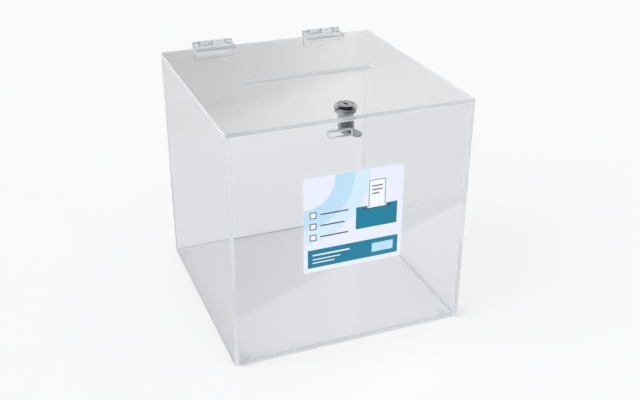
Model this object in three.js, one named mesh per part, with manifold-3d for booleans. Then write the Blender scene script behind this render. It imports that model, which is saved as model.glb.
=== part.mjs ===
// A clear acrylic collection box: glued panels, a hinged lid with a posting slot,
// two moulded acrylic hinges and a wafer cam lock. Millimetres, +Z up.
// The origin is on the table, under the middle of the whole outline.
import * as THREE from 'three';
import { mergeVertices } from 'three/addons/utils/BufferGeometryUtils.js';
import Module from 'manifold-3d';

const wasm = await Module();
wasm.setup();

// Panels: boxHeight runs from the underside of the base to the top of the lid
const boxWidth = 250;
const boxDepth = 250;
const boxHeight = 250;
const wallThickness = 4;
const baseThickness = 4;
const lidThickness = 4;
const slotLength = 150;
const slotWidth = 8;

// Clearances: a cement film or clamped seat, the air under the lid, and a running fit
const seatGap = 0.1;
const lidGap = 0.3;
const runningGap = 0.3;

// Feet: clear bumpers, inset from the outer faces of the walls
const footDiameter = 10;
const footFlatDiameter = 6.5;
const footHeight = 3;
const footEdgeRise = 1.8;
const footInset = 13.5;

// Label on the front wall
const labelWidth = 104;
const labelHeight = 102;
const labelThickness = 0.2;
const labelCornerRadius = 1.5;
const labelCentreHeight = 143;

// Hinges: both leaves are the same moulding, with one short and one long knuckle
const hingeSpacing = 131;
const hingeLength = 45;
const hingeEndKnuckle = 7.5;
const hingeLeafReach = 19;
const hingeLeafThickness = 2.8;
const hingeLeafCornerRadius = 1.5;
const hingeFoldedGap = 1.2;
const hingeKnuckleGap = 0.4;
const hingePinDiameter = 2.4;
const hingePinChamfer = 0.3;

// Lock housing and nut
const lockSetback = 25;
const plugDiameter = 11;
const barrelWall = 2.2;
const barrelFlatDepth = 1;
const barrelLength = 20;
const flangeOverhang = 3.5;
const flangeRimHeight = 0.5;
const flangeHeight = 3;
const flangeBevel = 2.75;
const nutWall = 2;
const nutThickness = 3;

// Lock plug, wafers and springs
const plugHeadOverhang = 1;
const plugHeadHeight = 1.2;
const plugHeadChamfer = 0.3;
const keywayLength = 6.5;
const keywayWidth = 3;
const keywayDepth = 18;
const driveSquare = 7;
const waferCount = 4;
const waferThickness = 0.9;
const waferPitch = 3;
const firstWaferDepth = 5;
const waferEndBar = 1.1;
const waferEarLength = 1;
const springLength = 3;
const springDiameter = 1.4;
const springWireDiameter = 0.3;
const springTurns = 4;
const pocketWall = 0.5;

// Stop washer, cam, and the screw that holds them; angles in degrees
const stopThickness = 1.2;
const stopTabWidth = 3.2;
const stopMargin = 3;
const turnToLocked = 60;
const turnToOpen = 30;
const camRestAngle = 20;
const camThickness = 2;
const camWidth = 10.5;
const camHubWall = 2.4;
const camTipGap = 1;
const screwDiameter = 4;
const screwLength = 6.5;
const screwHeadDiameter = 7.4;
const screwHeadHeight = 2.4;
const screwHeadChamfer = 0.6;
const screwRecessLength = 4.4;
const screwRecessWidth = 1;
const screwRecessDepth = 1.3;
const springWasherThickness = 0.9;
const springWasherSplit = 0.8;

// Keeper bar inside the front wall, which the locked cam turns under
const keeperLength = 24;
const keeperDepth = 6;
const keeperHeight = 6;
const keeperOffset = 2;
const keeperClearance = 1;

// Facets: steps in each drawn arc, and sides of each turned piece
const arcSteps = 8;
const roundSides = 32;
const smallSides = 20;
const wireSides = 5;
const stepsPerTurn = 8;
const cutOver = 1;
const weldTolerance = 1e-4;

// Finishes as the photograph shows them
const clearAcrylic = { color: 0xe4ecee, roughness: 0.05, metalness: 0, transparent: true, opacity: 0.3 };
const clearRubber = { color: 0xdfe5e6, roughness: 0.3, metalness: 0, transparent: true, opacity: 0.5 };
const labelPaper = { color: 0xdfe6f6, roughness: 0.55, metalness: 0 };
const chromePlate = { color: 0xc8cbcf, roughness: 0.12, metalness: 1 };
const zincSteel = { color: 0xaab0b6, roughness: 0.3, metalness: 1 };
const wornBrass = { color: 0xc3a25a, roughness: 0.3, metalness: 1 };
const springSteel = { color: 0x8f949a, roughness: 0.35, metalness: 1 };

function piece(name, geometry, finish) {
  const mesh = new THREE.Mesh(geometry, new THREE.MeshStandardMaterial(finish));
  mesh.name = name;
  return mesh;
}

// A closed solid for cutting and joining, with its shared corners welded
function solidOf(geometry) {
  const bare = geometry.clone();
  bare.deleteAttribute('normal');
  bare.deleteAttribute('uv');
  const welded = mergeVertices(bare, weldTolerance);
  const corners = welded.index.array;
  const triangles = [];
  for (let i = 0; i < corners.length; i += 3) {
    const [a, b, c] = [corners[i], corners[i + 1], corners[i + 2]];
    if (a !== b && b !== c && c !== a) {
      triangles.push(a, b, c);
    }
  }
  return new wasm.Manifold(new wasm.Mesh({
    numProp: 3,
    vertProperties: new Float32Array(welded.attributes.position.array),
    triVerts: new Uint32Array(triangles),
  }));
}

function geometryOf(solid) {
  const mesh = solid.getMesh();
  const geometry = new THREE.BufferGeometry();
  geometry.setAttribute('position', new THREE.BufferAttribute(mesh.vertProperties, 3));
  geometry.setIndex(new THREE.BufferAttribute(mesh.triVerts, 1));
  const faceted = geometry.toNonIndexed();
  faceted.computeVertexNormals();
  return faceted;
}

// A block between two heights, centred on the Z axis
function block(width, depth, low, high) {
  const geometry = new THREE.BoxGeometry(width, depth, high - low);
  return geometry.translate(0, 0, (low + high) / 2);
}

// A flat outline given thickness between two heights
function plate(outline, low, high) {
  const options = { depth: high - low, bevelEnabled: false, curveSegments: arcSteps };
  return new THREE.ExtrudeGeometry(outline, options).translate(0, 0, low);
}

// A turned piece about the Z axis, from [radius, height] points that run up its outside
function turned(points, sides) {
  const profile = points.map(([radius, height]) => new THREE.Vector2(radius, height));
  return new THREE.LatheGeometry(profile, sides).rotateX(Math.PI / 2);
}

function rod(radius, low, high, sides) {
  return turned([[0, low], [radius, low], [radius, high], [0, high]], sides);
}

function ring(inner, outer, low, high, sides) {
  return turned([[inner, low], [outer, low], [outer, high], [inner, high], [inner, low]], sides);
}

function roundedRectangle(width, height, radius) {
  const x = width / 2 - radius;
  const y = height / 2 - radius;
  const outline = new THREE.Shape();
  outline.absarc(x, y, radius, 0, Math.PI / 2);
  outline.absarc(-x, y, radius, Math.PI / 2, Math.PI);
  outline.absarc(-x, -y, radius, Math.PI, 1.5 * Math.PI);
  outline.absarc(x, -y, radius, 1.5 * Math.PI, 2 * Math.PI);
  outline.closePath();
  return outline;
}

// A circle with two flats that face left and right
function twoFlats(outline, radius, acrossFlats) {
  const corner = Math.acos(acrossFlats / 2 / radius);
  outline.absarc(0, 0, radius, corner, Math.PI - corner);
  outline.absarc(0, 0, radius, Math.PI + corner, 2 * Math.PI - corner);
  outline.closePath();
  return outline;
}

function squarePath(size) {
  const half = size / 2;
  const path = new THREE.Path();
  path.moveTo(-half, -half);
  path.lineTo(-half, half);
  path.lineTo(half, half);
  path.lineTo(half, -half);
  path.closePath();
  return path;
}

// Shared places, in the frame of the panels: origin under the middle of the base
const innerWidth = boxWidth - 2 * wallThickness;
const innerDepth = boxDepth - 2 * wallThickness;
const wallHeight = boxHeight - lidThickness - lidGap;
const pinStandoff = hingeLeafThickness + hingeFoldedGap / 2;
const pinRadius = hingePinDiameter / 2;
const plugRadius = plugDiameter / 2;
const plugBoreRadius = plugRadius + runningGap;
const barrelRadius = plugBoreRadius + barrelWall;
const barrelFlats = 2 * (barrelRadius - barrelFlatDepth);

// Heights in the lock, measured from the top of the lid
const plugEnd = -barrelLength;
const stopTop = plugEnd - seatGap;
const stopBottom = stopTop - stopThickness;
const camTop = stopBottom - seatGap;
const camBottom = camTop - camThickness;
const barrelEnd = camTop + runningGap;
const springWasherTop = camBottom - seatGap;
const springWasherBottom = springWasherTop - springWasherThickness;
const screwHeadTop = springWasherBottom - seatGap;

const box = new THREE.Group();
const lid = new THREE.Group();
lid.position.z = boxHeight;
box.add(lid);

// Panels: the side walls run the full depth, the others are glued in between them
const sideWall = block(wallThickness, boxDepth, 0, wallHeight);
const crossWall = block(innerWidth - 2 * seatGap, wallThickness, 0, wallHeight);
const leftWall = piece('left_wall', sideWall.clone(), clearAcrylic);
leftWall.position.x = -(boxWidth - wallThickness) / 2;
const rightWall = piece('right_wall', sideWall.clone(), clearAcrylic);
rightWall.position.x = (boxWidth - wallThickness) / 2;
const frontWall = piece('front_wall', crossWall.clone(), clearAcrylic);
frontWall.position.y = -(boxDepth - wallThickness) / 2;
const backWall = piece('back_wall', crossWall.clone(), clearAcrylic);
backWall.position.y = (boxDepth - wallThickness) / 2;
const baseBlock = block(innerWidth - 2 * seatGap, innerDepth - 2 * seatGap, 0, baseThickness);
box.add(leftWall, rightWall, frontWall, backWall, piece('base_panel', baseBlock, clearAcrylic));

// Feet: short bumpers, round at the lower edge and flat where they stand
const footProfile = [[0, -footHeight]];
for (let step = 0; step <= arcSteps; step += 1) {
  const angle = (step / arcSteps) * Math.PI / 2;
  const spread = (footDiameter - footFlatDiameter) / 2;
  const radius = footFlatDiameter / 2 + spread * Math.sin(angle);
  footProfile.push([radius, -footHeight + footEdgeRise * (1 - Math.cos(angle))]);
}
footProfile.push([footDiameter / 2, 0], [0, 0]);
for (const [depthName, ySide] of [['front', -1], ['back', 1]]) {
  for (const [widthName, xSide] of [['left', -1], ['right', 1]]) {
    const foot = piece(`foot_${depthName}_${widthName}`, turned(footProfile, smallSides), clearRubber);
    foot.position.x = xSide * (boxWidth / 2 - footInset);
    foot.position.y = ySide * (boxDepth / 2 - footInset);
    foot.position.z = -seatGap;
    box.add(foot);
  }
}

// Label: a sheet stuck flat on the outside of the front wall
const labelSheet = plate(roundedRectangle(labelWidth, labelHeight, labelCornerRadius), 0, labelThickness);
const label = piece('front_label', labelSheet.rotateX(Math.PI / 2), labelPaper);
label.position.y = -boxDepth / 2 - seatGap;
label.position.z = labelCentreHeight;
box.add(label);

// Keeper: a bar glued inside the front wall, just above the height of the cam
const keeperBottom = boxHeight + camTop + keeperClearance;
const keeper = piece(
  'lock_keeper',
  block(keeperLength, keeperDepth, keeperBottom, keeperBottom + keeperHeight),
  clearAcrylic,
);
keeper.position.x = -keeperOffset - keeperLength / 2;
keeper.position.y = -innerDepth / 2 + seatGap + keeperDepth / 2;
box.add(keeper);

// Hinge leaf: a plate on its mounting face, with two knuckles round the pin along X.
// Turned half round about the line between its plate and the pin, it is the other leaf.
const alongX = new THREE.Matrix4().makeBasis(
  new THREE.Vector3(0, 1, 0),
  new THREE.Vector3(0, 0, 1),
  new THREE.Vector3(1, 0, 0),
);
const leafTop = -hingeFoldedGap / 2;
const leafBottom = -pinStandoff;
const leafNotch = pinStandoff + runningGap;
const plateDepth = hingeLeafReach - leafNotch;
const longKnuckle = (hingeLength - 2 * hingeEndKnuckle) / 2;

function knuckle(start, end) {
  const outline = new THREE.Shape();
  outline.moveTo(-leafNotch - hingeLeafThickness, leafBottom);
  outline.lineTo(0, leafBottom);
  outline.absarc(0, 0, pinStandoff, -Math.PI / 2, Math.PI - Math.asin(leafTop / pinStandoff));
  outline.lineTo(-leafNotch - hingeLeafThickness, leafTop);
  outline.closePath();
  const bore = new THREE.Path();
  bore.absarc(0, 0, pinRadius + runningGap, 0, 2 * Math.PI, true);
  outline.holes.push(bore);
  return solidOf(plate(outline, start, end).applyMatrix4(alongX));
}

const leafOutline = roundedRectangle(hingeLength, plateDepth, hingeLeafCornerRadius);
const leafSheet = plate(leafOutline, leafBottom, leafTop);
leafSheet.translate(0, -leafNotch - plateDepth / 2, 0);
const leafSolid = solidOf(leafSheet)
  .add(knuckle(-longKnuckle + hingeKnuckleGap / 2, -hingeKnuckleGap / 2))
  .add(knuckle(longKnuckle + hingeKnuckleGap / 2, hingeLength / 2));
const leafFlip = new THREE.Vector3(0, 1, 1).normalize();

const pinProfile = [
  [0, -hingeLength / 2],
  [pinRadius - hingePinChamfer, -hingeLength / 2],
  [pinRadius, -hingeLength / 2 + hingePinChamfer],
  [pinRadius, hingeLength / 2 - hingePinChamfer],
  [pinRadius - hingePinChamfer, hingeLength / 2],
  [0, hingeLength / 2],
];
for (const [name, side] of [['left', -1], ['right', 1]]) {
  const hinge = new THREE.Group();
  hinge.position.x = side * hingeSpacing / 2;
  hinge.position.y = boxDepth / 2 + seatGap + pinStandoff;
  hinge.position.z = boxHeight + seatGap + pinStandoff;
  const lidLeaf = piece(`hinge_${name}_lid_leaf`, geometryOf(leafSolid), clearAcrylic);
  const wallLeaf = piece(`hinge_${name}_wall_leaf`, geometryOf(leafSolid), clearAcrylic);
  wallLeaf.quaternion.setFromAxisAngle(leafFlip, Math.PI);
  const pinRod = turned(pinProfile, smallSides).rotateY(Math.PI / 2);
  hinge.add(lidLeaf, wallLeaf, piece(`hinge_${name}_pin`, pinRod, clearAcrylic));
  box.add(hinge);
}

// Lid panel: the posting slot has round ends, and the lock hole has the barrel's flats
const lidOutline = new THREE.Shape();
lidOutline.moveTo(-boxWidth / 2, -boxDepth / 2);
lidOutline.lineTo(boxWidth / 2, -boxDepth / 2);
lidOutline.lineTo(boxWidth / 2, boxDepth / 2);
lidOutline.lineTo(-boxWidth / 2, boxDepth / 2);
lidOutline.closePath();
const lockY = -boxDepth / 2 + lockSetback;
const lockHole = twoFlats(new THREE.Shape(), barrelRadius + runningGap, barrelFlats + 2 * runningGap);
const lockCut = solidOf(plate(lockHole, -lidThickness - cutOver, cutOver).translate(0, lockY, 0));
lidOutline.holes.push(roundedRectangle(slotLength, slotWidth, slotWidth / 2 - weldTolerance));
const lidSolid = solidOf(plate(lidOutline, -lidThickness, 0)).subtract(lockCut);
lid.add(piece('lid_panel', geometryOf(lidSolid), clearAcrylic));

// Lock housing: a bevelled flange on the lid, and a barrel with flats through its hole.
// Part of the barrel's end is cut back, so that the stop washer's tab can swing there.
const lock = new THREE.Group();
lock.position.y = lockY;
lid.add(lock);

const flangeRadius = barrelRadius + flangeOverhang;
const flange = turned([
  [0, seatGap],
  [flangeRadius, seatGap],
  [flangeRadius, flangeRimHeight],
  [flangeRadius - flangeBevel, flangeHeight],
  [0, flangeHeight],
], roundSides);
const barrel = plate(twoFlats(new THREE.Shape(), barrelRadius, barrelFlats), barrelEnd, flangeRimHeight);
const plugHeadRadius = plugRadius + plugHeadOverhang;
const plugHeadBottom = flangeHeight - plugHeadHeight;
const headSeatBottom = plugHeadBottom - seatGap;
const headSeat = rod(plugHeadRadius + runningGap, headSeatBottom, flangeHeight + cutOver, roundSides);
const plugBore = rod(plugBoreRadius, barrelEnd - cutOver, flangeHeight + cutOver, roundSides);

const restTurn = THREE.MathUtils.degToRad(camRestAngle);
const tabHalfAngle = Math.asin(stopTabWidth / 2 / plugBoreRadius);
const tabMargin = THREE.MathUtils.degToRad(stopMargin);
const tabRest = Math.PI / 2 + restTurn;
const tabStart = tabRest - THREE.MathUtils.degToRad(turnToLocked) - tabHalfAngle - tabMargin;
const tabFinish = tabRest + THREE.MathUtils.degToRad(turnToOpen) + tabHalfAngle + tabMargin;
const sweepRadius = barrelRadius + cutOver;
const tabSweep = new THREE.Shape();
tabSweep.moveTo(0, 0);
tabSweep.lineTo(sweepRadius * Math.cos(tabStart), sweepRadius * Math.sin(tabStart));
tabSweep.absarc(0, 0, sweepRadius, tabStart, tabFinish);
tabSweep.closePath();
const housingSolid = solidOf(flange)
  .add(solidOf(barrel))
  .subtract(solidOf(plugBore))
  .subtract(solidOf(headSeat))
  .subtract(solidOf(plate(tabSweep, barrelEnd - cutOver, plugEnd)));
lock.add(piece('lock_housing', geometryOf(housingSolid), chromePlate));

// Lock nut: a thin hexagon on the barrel, up against the underside of the lid
const nutOutline = new THREE.Shape();
const nutCornerRadius = (barrelRadius + nutWall) / Math.cos(Math.PI / 6);
nutOutline.setFromPoints([0, 1, 2, 3, 4, 5].map((corner) => {
  const angle = corner * Math.PI / 3;
  return new THREE.Vector2(nutCornerRadius * Math.cos(angle), nutCornerRadius * Math.sin(angle));
}));
const nutBore = new THREE.Path();
nutBore.absarc(0, 0, barrelRadius + runningGap, 0, 2 * Math.PI, true);
nutOutline.holes.push(nutBore);
const nutTop = -lidThickness - seatGap;
lock.add(piece('lock_nut', plate(nutOutline, nutTop - nutThickness, nutTop), chromePlate));

// Lock plug: a round core with a head, a keyway, cross slots for the wafers and a square drive.
// Its group is turned to the angle at which the cam stands in the photograph.
const core = new THREE.Group();
core.rotation.z = restTurn;
lock.add(core);

const screwRadius = screwDiameter / 2;
const screwTip = screwHeadTop + screwLength;
const plugProfile = [
  [0, plugEnd],
  [plugRadius, plugEnd],
  [plugRadius, plugHeadBottom],
  [plugHeadRadius, plugHeadBottom],
  [plugHeadRadius, flangeHeight - plugHeadChamfer],
  [plugHeadRadius - plugHeadChamfer, flangeHeight],
  [0, flangeHeight],
];
const drive = block(driveSquare, driveSquare, camBottom + runningGap, plugEnd + cutOver);
const keyway = block(keywayWidth, keywayLength, flangeHeight - keywayDepth, flangeHeight + cutOver);
const screwHole = rod(screwRadius + runningGap, camBottom - cutOver, screwTip + runningGap, smallSides);

// Wafers fill the core's width up to the spring pocket at their right
const earTop = springLength / 2 + runningGap + waferEarLength;
const pocketReach = Math.sqrt((plugRadius - pocketWall) ** 2 - earTop ** 2);
const springX = pocketReach - springDiameter / 2;
const waferHalfWidth = springX - springDiameter / 2 - runningGap;
const waferHalfLength = Math.sqrt(plugRadius ** 2 - waferHalfWidth ** 2) - runningGap;
const windowHalfWidth = keywayWidth / 2 + runningGap;
const windowHalfLength = waferHalfLength - waferEndBar;
const pocketHalfLength = earTop + runningGap;

const waferOutline = new THREE.Shape();
waferOutline.moveTo(-waferHalfWidth, -waferHalfLength);
waferOutline.lineTo(waferHalfWidth, -waferHalfLength);
waferOutline.lineTo(waferHalfWidth, earTop - waferEarLength);
waferOutline.lineTo(pocketReach, earTop - waferEarLength);
waferOutline.lineTo(pocketReach, earTop);
waferOutline.lineTo(waferHalfWidth, earTop);
waferOutline.lineTo(waferHalfWidth, waferHalfLength);
waferOutline.lineTo(-waferHalfWidth, waferHalfLength);
waferOutline.closePath();
const waferWindow = new THREE.Path();
waferWindow.moveTo(-windowHalfWidth, -windowHalfLength);
waferWindow.lineTo(-windowHalfWidth, windowHalfLength);
waferWindow.lineTo(windowHalfWidth, windowHalfLength);
waferWindow.lineTo(windowHalfWidth, -windowHalfLength);
waferWindow.closePath();
waferOutline.holes.push(waferWindow);

// Wafer spring: a coil along Y that pushes on the wafer's ear
class SpringCoil extends THREE.Curve {
  getPoint(t, target = new THREE.Vector3()) {
    const angle = 2 * Math.PI * springTurns * t;
    const radius = (springDiameter - springWireDiameter) / 2;
    const travel = springLength - springWireDiameter;
    return target.set(radius * Math.cos(angle), travel * (t - 0.5), radius * Math.sin(angle));
  }
}

const wireSection = new THREE.Shape();
wireSection.setFromPoints(Array.from({ length: wireSides }, (_, corner) => {
  const angle = 2 * Math.PI * corner / wireSides;
  return new THREE.Vector2(Math.cos(angle), Math.sin(angle)).multiplyScalar(springWireDiameter / 2);
}));
const springCoil = new THREE.ExtrudeGeometry(wireSection, {
  steps: springTurns * stepsPerTurn,
  extrudePath: new SpringCoil(),
  bevelEnabled: false,
});

let plugSolid = solidOf(turned(plugProfile, roundSides))
  .add(solidOf(drive))
  .subtract(solidOf(keyway))
  .subtract(solidOf(screwHole));
const slotHalfHeight = waferThickness / 2 + runningGap;
const pocketHalfHeight = springDiameter / 2 + runningGap;
for (let place = 0; place < waferCount; place += 1) {
  const height = flangeHeight - firstWaferDepth - place * waferPitch;
  const waferSlot = block(
    2 * (waferHalfWidth + runningGap),
    2 * (plugRadius + cutOver),
    height - slotHalfHeight,
    height + slotHalfHeight,
  );
  const pocketWidth = pocketReach + runningGap;
  const pocket = block(
    pocketWidth,
    2 * pocketHalfLength,
    height - pocketHalfHeight,
    height + pocketHalfHeight,
  ).translate(pocketWidth / 2, 0, 0);
  plugSolid = plugSolid.subtract(solidOf(waferSlot)).subtract(solidOf(pocket));

  const waferPlate = plate(waferOutline, -waferThickness / 2, waferThickness / 2);
  const wafer = piece(`wafer_${place + 1}`, waferPlate, wornBrass);
  wafer.position.z = height;
  const spring = piece(`wafer_spring_${place + 1}`, springCoil.clone(), springSteel);
  spring.position.x = springX;
  spring.position.z = height;
  core.add(wafer, spring);
}
core.add(piece('lock_plug', geometryOf(plugSolid), chromePlate));

// Stop washer: keyed on the square drive, with a tab that runs in the barrel's cut-back end
const stopRadius = plugRadius;
const tabAngle = Math.asin(stopTabWidth / 2 / stopRadius);
const stopOutline = new THREE.Shape();
stopOutline.absarc(0, 0, stopRadius, Math.PI / 2 + tabAngle, 2.5 * Math.PI - tabAngle);
stopOutline.lineTo(stopTabWidth / 2, barrelRadius);
stopOutline.lineTo(-stopTabWidth / 2, barrelRadius);
stopOutline.closePath();
stopOutline.holes.push(squarePath(driveSquare + 2 * runningGap));
core.add(piece('lock_stop_washer', plate(stopOutline, stopBottom, stopTop), zincSteel));

// Cam: a flat arm with a round tip, whose hub sits on the same square drive
const camReach = lockSetback - wallThickness - camTipGap;
const camHubRadius = driveSquare / Math.SQRT2 + camHubWall;
const armAngle = Math.asin(camWidth / 2 / camHubRadius);
const camOutline = new THREE.Shape();
camOutline.absarc(0, 0, camHubRadius, armAngle - Math.PI / 2, 1.5 * Math.PI - armAngle);
camOutline.absarc(0, camWidth / 2 - camReach, camWidth / 2, Math.PI, 2 * Math.PI);
camOutline.closePath();
camOutline.holes.push(squarePath(driveSquare + 2 * runningGap));
core.add(piece('lock_cam', plate(camOutline, camBottom, camTop), chromePlate));

// Spring washer: a split ring under the screw's head
const washerRing = ring(
  screwRadius + runningGap,
  screwHeadDiameter / 2,
  springWasherBottom,
  springWasherTop,
  smallSides,
);
const washerSplit = block(
  springWasherSplit,
  screwHeadDiameter,
  springWasherBottom - cutOver,
  springWasherTop + cutOver,
).translate(0, screwHeadDiameter / 2, 0);
const washerSolid = solidOf(washerRing).subtract(solidOf(washerSplit));
core.add(piece('lock_spring_washer', geometryOf(washerSolid), zincSteel));

// Cam screw: its head is below the cam, with a cross recess, and its shank is in the plug
const screwHeadRadius = screwHeadDiameter / 2;
const screwHeadBottom = screwHeadTop - screwHeadHeight;
const screwBody = turned([
  [0, screwHeadBottom],
  [screwHeadRadius - screwHeadChamfer, screwHeadBottom],
  [screwHeadRadius, screwHeadBottom + screwHeadChamfer],
  [screwHeadRadius, screwHeadTop],
  [screwRadius, screwHeadTop],
  [screwRadius, screwTip],
  [0, screwTip],
], smallSides);
const recessLow = screwHeadBottom - cutOver;
const recessHigh = screwHeadBottom + screwRecessDepth;
const screwSolid = solidOf(screwBody)
  .subtract(solidOf(block(screwRecessLength, screwRecessWidth, recessLow, recessHigh)))
  .subtract(solidOf(block(screwRecessWidth, screwRecessLength, recessLow, recessHigh)));
core.add(piece('lock_cam_screw', geometryOf(screwSolid), zincSteel));

// The whole box stands on its feet, centred on its outline from label to hinge barrels
const hingeOverhang = seatGap + 2 * pinStandoff;
const labelOverhang = seatGap + labelThickness;
box.position.y = (labelOverhang - hingeOverhang) / 2;
box.position.z = footHeight + seatGap;

const collectionBox = new THREE.Group();
collectionBox.add(box);

export default collectionBox;
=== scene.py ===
import math

import bmesh
import bpy
from mathutils import Matrix, Quaternion, Vector


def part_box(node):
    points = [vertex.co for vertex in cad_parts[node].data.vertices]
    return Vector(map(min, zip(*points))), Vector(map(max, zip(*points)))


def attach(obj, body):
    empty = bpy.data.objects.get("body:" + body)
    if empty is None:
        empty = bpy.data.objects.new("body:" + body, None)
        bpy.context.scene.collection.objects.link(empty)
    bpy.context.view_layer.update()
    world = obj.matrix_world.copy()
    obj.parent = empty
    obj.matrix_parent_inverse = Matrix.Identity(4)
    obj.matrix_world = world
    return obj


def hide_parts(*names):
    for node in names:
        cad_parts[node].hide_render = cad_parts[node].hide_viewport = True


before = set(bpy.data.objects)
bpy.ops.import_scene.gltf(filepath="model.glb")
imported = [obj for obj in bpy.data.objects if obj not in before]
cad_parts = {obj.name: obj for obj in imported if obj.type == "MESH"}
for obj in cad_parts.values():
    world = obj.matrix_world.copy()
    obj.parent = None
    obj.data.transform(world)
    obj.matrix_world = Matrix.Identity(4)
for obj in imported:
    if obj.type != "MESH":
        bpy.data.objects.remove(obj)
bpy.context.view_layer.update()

# Base and walls: five panels sawn from 4 mm cast acrylic sheet, scraped at their edges, and
# run together with solvent cement into a cube that is open at the top.
mm = 0.001
x_axis, y_axis, z_axis = range(3)
square_on = 0.9
sheet_edge_break = 0.2 * mm
bevelled_from = math.radians(35)
creased_from = math.radians(50)
cement_gap = 0.15 * mm
film_rim = 0.35 * mm
# The finishes of a panel, in the order in which hand_over gets them
sheet_face, scraped, buffed, sawn, first_film = range(5)


def linear(colour):
    channels = [int(colour[start:start + 2], 16) / 255 for start in (1, 3, 5)]
    return (*[
        c / 12.92 if c <= 0.04045 else ((c + 0.055) / 1.055) ** 2.4 for c in channels], 1.0)


def start_finish(name):
    finish = bpy.data.materials.new(name)
    finish.use_nodes = True
    finish.node_tree.nodes.clear()
    return finish, finish.node_tree


def add_node(tree, kind, inputs, **settings):
    node = tree.nodes.new(kind)
    for name, value in settings.items():
        setattr(node, name, value)
    for socket, value in inputs.items():
        if isinstance(value, bpy.types.NodeSocket):
            tree.links.new(value, node.inputs[socket])
        else:
            node.inputs[socket].default_value = value
    return node


def let_light_through(tree, clear, tint):
    light = add_node(tree, "ShaderNodeBsdfTransparent", {"Color": linear(tint)})
    path = add_node(tree, "ShaderNodeLightPath", {})
    bounce = add_node(tree, "ShaderNodeMixShader", {
        0: path.outputs["Is Diffuse Ray"], 1: clear.outputs[0], 2: light.outputs[0]})
    mix = add_node(tree, "ShaderNodeMixShader", {
        0: path.outputs["Is Shadow Ray"], 1: bounce.outputs[0], 2: light.outputs[0]})
    add_node(tree, "ShaderNodeOutputMaterial", {"Surface": mix.outputs[0]})


def block(name, low, high):
    bpy.ops.object.select_all(action="DESELECT")
    bpy.ops.mesh.primitive_cube_add(size=1, location=(Vector(low) + Vector(high)) / 2)
    piece = bpy.context.object
    piece.name = piece.data.name = name
    piece.scale = Vector(high) - Vector(low)
    bpy.ops.object.transform_apply(location=True, rotation=True, scale=True)
    return piece


def take(piece):
    bpy.ops.object.select_all(action="DESELECT")
    piece.select_set(True)
    bpy.context.view_layer.objects.active = piece


def break_edges(piece, width, segments=2):
    take(piece)
    bevel = piece.modifiers.new("edge_break", "BEVEL")
    bevel.width = width
    bevel.segments = segments
    bevel.limit_method = "ANGLE"
    bevel.angle_limit = bevelled_from
    bpy.ops.object.modifier_apply(modifier=bevel.name)
    bpy.ops.object.shade_smooth_by_angle(angle=creased_from)
    weighted = piece.modifiers.new("flat_faces", "WEIGHTED_NORMAL")
    weighted.weight = 100
    weighted.keep_sharp = True
    bpy.ops.object.modifier_apply(modifier=weighted.name)


def cement_places(node, neighbours):
    low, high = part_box(node)
    places = []
    for neighbour in neighbours:
        their_low, their_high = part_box(neighbour)
        start = [max(pair) + film_rim for pair in zip(low, their_low)]
        end = [min(pair) - film_rim for pair in zip(high, their_high)]
        for axis in range(3):
            spans = [(side, start[side], end[side]) for side in range(3) if side != axis]
            gaps = ((1, their_low[axis] - high[axis]), (-1, low[axis] - their_high[axis]))
            for outward, gap in gaps:
                if 0 < gap < cement_gap and all(first < last for side, first, last in spans):
                    places.append((axis, outward, spans))
    return places


def score(piece, places):
    take(piece)
    low, high = [Vector(corner) for corner in (piece.bound_box[0], piece.bound_box[6])]
    bpy.ops.object.mode_set(mode="EDIT")
    bpy.ops.mesh.select_mode(type="FACE")
    for axis, outward, spans in places:
        for side, start, end in spans:
            for limit in (start, end):
                if low[side] + 2 * film_rim < limit < high[side] - 2 * film_rim:
                    bpy.ops.mesh.select_all(action="DESELECT")
                    scored = bmesh.from_edit_mesh(piece.data)
                    for face in scored.faces:
                        face.select_set(face.normal[axis] * outward > square_on)
                    bmesh.update_edit_mesh(piece.data)
                    square = Vector((side == 0, side == 1, side == 2))
                    bpy.ops.mesh.bisect(plane_co=square * limit, plane_no=square)
    bpy.ops.object.mode_set(mode="OBJECT")


def paint(piece, thin, *films):
    for face in piece.data.polygons:
        face.material_index = scraped
        if abs(face.normal[thin]) > square_on:
            face.material_index = sheet_face
        # Edges facing up take the sawn finish, which a painted highlight makes whiter
        elif face.normal.z > square_on:
            face.material_index = sawn
        for film, places in enumerate(films):
            for axis, outward, spans in places:
                if face.normal[axis] * outward > square_on and all(
                        start - film_rim < face.center[side] < end + film_rim
                        for side, start, end in spans):
                    face.material_index = first_film + film


def hand_over(piece, body, node, slot, *finishes):
    piece.data.materials.clear()
    for finish in finishes:
        piece.data.materials.append(finish)
    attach(piece, body)
    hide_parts(node)


# Cast acrylic, PMMA: clear all through, a high gloss, and a breath of wiped haze that only
# shows in reflections. Shadow rays pass it, as light passes the real sheet.
acrylic_ior = 1.49
haze_width = 70 * mm
cast_acrylic, tree = start_finish("cast_acrylic_sheet")
place = add_node(tree, "ShaderNodeTexCoord", {})
wiped_haze = add_node(tree, "ShaderNodeTexNoise", {
    "Vector": place.outputs["Object"], "Scale": 1 / haze_width, "Detail": 3.0})
sheet_gloss = add_node(tree, "ShaderNodeMapRange", {
    "Value": wiped_haze.outputs["Fac"], "From Min": 0.35, "From Max": 0.75,
    "To Min": 0.0, "To Max": 0.025})
sheet_clear = add_node(tree, "ShaderNodeBsdfPrincipled", {
    "Base Color": linear("#F7F8F9"), "Roughness": sheet_gloss.outputs["Result"],
    "IOR": acrylic_ior, "Transmission Weight": 1.0})
let_light_through(tree, sheet_clear, "#FDFDFE")
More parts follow.
